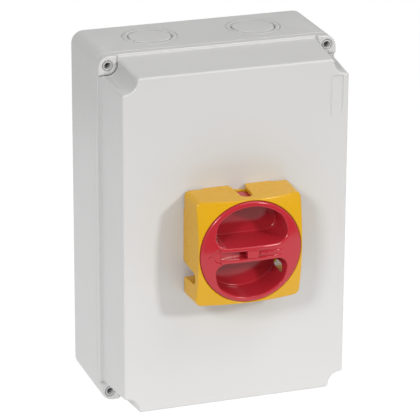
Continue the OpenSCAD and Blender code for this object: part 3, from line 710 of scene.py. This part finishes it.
GREY = (0.600, 0.597, 0.594)
YELLOW = (0.660, 0.352, 0.003)
RED = (0.450, 0.020, 0.032)
MATERIALS = {
    "grey_moulding": moulded("grey_moulding", GREY, rough=0.34, grain=0.08, tone=0.012, wear_and_edge_highlight=0.25,
                             spec=0.42),
    "yellow_moulding": moulded("yellow_moulding", YELLOW, rough=0.26, grain=0.02, tone=0.02, spec=0.42),
    "red_moulding": moulded("red_moulding", RED, rough=0.14, grain=0.02, tone=0.03, wear_and_edge_highlight=0.10),
    "black_moulding": moulded("black_moulding", (0.028, 0.028, 0.030), rough=0.46, grain=0.3,
                              tone=0.06),
    "ivory_moulding": moulded("ivory_moulding", (0.62, 0.56, 0.44), rough=0.5, grain=0.3, tone=0.05),
    "clear_shield": clear_plastic("clear_shield"),
    "seal_rubber": rubber("seal_rubber", (0.022, 0.022, 0.024)),
    "zinc_steel": metal("zinc_steel", (0.60, 0.61, 0.62), rough=0.32),
    # screw steel kept dark, partly as painted shade for the cover screws deep in their wells
    "screw_steel": metal("screw_steel", (0.27, 0.27, 0.28), rough=0.42, stretch=(1, 1, 1)),
    "spring_steel": metal("spring_steel", (0.38, 0.39, 0.42), rough=0.26),
    "brass_bar": metal("brass_bar", (0.72, 0.51, 0.20), rough=0.28, stretch=(14, 1, 1)),
    "contact_copper": metal("contact_copper", (0.74, 0.40, 0.24), rough=0.3, stretch=(1, 1, 10)),
}
SLOT_OF = {part["node"]: part["material_slot"] for part in frame["record"]["subparts"]}


def finish_piece(obj, body, node):
    obj.data.materials.clear()
    obj.data.materials.append(MATERIALS[SLOT_OF[node]])
    for polygon in obj.data.polygons:
        polygon.material_index = 0
    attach(obj, body)
    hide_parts(node)


bezel_box = [(-40.5, AXIS - 40.5, FACE - 0.5), (40.5, AXIS + 40.5, FACE + DOME_H + 0.5)]
knob_box = [(-38.6, AXIS - 38.6, FACE - 4.1), (38.6, AXIS + 38.6, FACE + DOME_H + 1)]
tab_box = [(-7, AXIS - 3.5, FACE + 12.4), (7, AXIS + 3.5, FACE + DOME_H + 1)]

finish_piece(build_rear_box(), "enclosure", "rear_box")
finish_piece(build_cover(), "cover", "front_cover")
bezel = field_mesh("bezel_moulding", on_face(bezel_field), *bezel_box, 0.5)
knob = field_mesh("knob_moulding", on_face(knob_field), *knob_box, 0.45)
tab = field_mesh("lock_tab_moulding", on_face(tab_field), *tab_box, 0.3)
for piece in (bezel, knob, tab):
    smooth(piece, 50, weighted=False)
finish_piece(bezel, "cover", "bezel")
finish_piece(knob, "handle", "knob")
finish_piece(tab, "padlock_tab", "lock_tab")

for node, obj in NODES.items():
    if obj.hide_render:
        continue
    obj.data.materials.clear()
    obj.data.materials.append(MATERIALS[SLOT_OF[node]])


# ------------------------------------------------------------------ camera, floor and light

scene = bpy.context.scene
scene.view_settings.view_transform = "Standard"
scene.view_settings.look = "None"

eye = Vector((-0.62407, -1.84840, 0.71116))
look = Vector((0.30728, 0.88509, -0.34956)).normalized()
right = look.cross(Vector((0, 0, 1))).normalized()
upward = right.cross(look)
roll = math.radians(0.292)
cam_right = right * math.cos(roll) + upward * math.sin(roll)
cam_up = cam_right.cross(look)
camera = bpy.data.objects.new("camera", bpy.data.cameras.new("camera"))
scene.collection.objects.link(camera)
camera.data.sensor_width = 36
camera.data.lens = 236.63
camera.data.clip_start, camera.data.clip_end = 0.05, 50
camera.matrix_world = Matrix((
    (cam_right.x, cam_up.x, -look.x, eye.x),
    (cam_right.y, cam_up.y, -look.y, eye.y),
    (cam_right.z, cam_up.z, -look.z, eye.z),
    (0, 0, 0, 1)))
scene.camera = camera

ground = -HALF_H / 1000 - 0.0006
bpy.ops.mesh.primitive_plane_add(size=1.1, location=(0, 0, ground))
floor = bpy.context.object
floor.name = "studio_floor"
n = Nodes("studio_floor")
glow = n.add("ShaderNodeEmission")
n.set(glow.inputs["Color"], n.mix(n.spread(n.noise(2, 2), 0, 1), (0.985, 0.985, 0.985), (1, 1, 1)))
glow.inputs["Strength"].default_value = 1.09
n.bsdf.inputs["Base Color"].default_value = (0.9, 0.9, 0.9, 1)
n.bsdf.inputs["Roughness"].default_value = 0.9
blend = n.add("ShaderNodeMixShader")
blend.inputs[0].default_value = 0.88
n.link(n.bsdf.outputs[0], blend.inputs[1])
n.link(glow.outputs[0], blend.inputs[2])
n.link(blend.outputs[0], n.out.inputs[0])
floor.data.materials.append(n.mat)

world = bpy.data.worlds.new("studio")
scene.world = world
world.use_nodes = True
tree = world.node_tree


def world_node(kind, **values):
    node = tree.nodes.new(kind)
    for key, value in values.items():
        setattr(node, key, value)
    return node


def facing(direction, low, high, to_low, to_high):
    """Level that runs from to_low to to_high as a ray turns towards a direction."""
    dot = world_node("ShaderNodeVectorMath", operation="DOT_PRODUCT")
    tree.links.new(rays.outputs["Generated"], dot.inputs[0])
    dot.inputs[1].default_value = Vector(direction).normalized()
    ramp = world_node("ShaderNodeMapRange", interpolation_type="SMOOTHSTEP")
    for key, number in zip(("From Min", "From Max", "To Min", "To Max"), (low, high, to_low, to_high)):
        ramp.inputs[key].default_value = number
    tree.links.new(dot.outputs["Value"], ramp.inputs["Value"])
    return ramp.outputs[0]


def times(a, b):
    node = world_node("ShaderNodeMath", operation="MULTIPLY")
    tree.links.new(a, node.inputs[0])
    tree.links.new(b, node.inputs[1])
    return node.outputs[0]


# A white tent, dimmer overhead and dark where the camera stands, with one bright softbox above.
rays = world_node("ShaderNodeTexCoord")
level = facing((-1, 0, 0), 0.0, 1.0, 0.435, 0.49)
level = times(level, facing((0, 0, 1), 0.2, 1.0, 1.0, 0.88))
level = times(level, facing((0.3, -0.88, -0.25), 0.76, 0.95, 1.0, 0.04))
level = times(level, facing((0.3, -0.35, 0.88), 0.94, 0.975, 1.0, 7.5))
sight = world_node("ShaderNodeLightPath")
pick = world_node("ShaderNodeMix")
tree.links.new(sight.outputs["Is Camera Ray"], pick.inputs[0])
tree.links.new(level, pick.inputs[2])
pick.inputs[3].default_value = 1.0
background = tree.nodes["Background"]
background.inputs[0].default_value = (1, 1, 1, 1)
tree.links.new(pick.outputs[0], background.inputs[1])


def area_light(name, place, target, size, power, color=(1, 1, 1)):
    data = bpy.data.lights.new(name, "AREA")
    data.size, data.energy, data.color = size, power, color
    lamp = bpy.data.objects.new(name, data)
    lamp.location = place
    lamp.rotation_euler = (Vector(target) - Vector(place)).to_track_quat("-Z", "Y").to_euler()
    scene.collection.objects.link(lamp)


area_light("key", (1.04, -1.69, 0.9), (0, -0.1, 0), size=0.22, power=17, color=(1.0, 0.985, 0.96))
area_light("fill", (-1.41, -1.7, 1.25), (0, -0.1, 0), size=0.45, power=23)
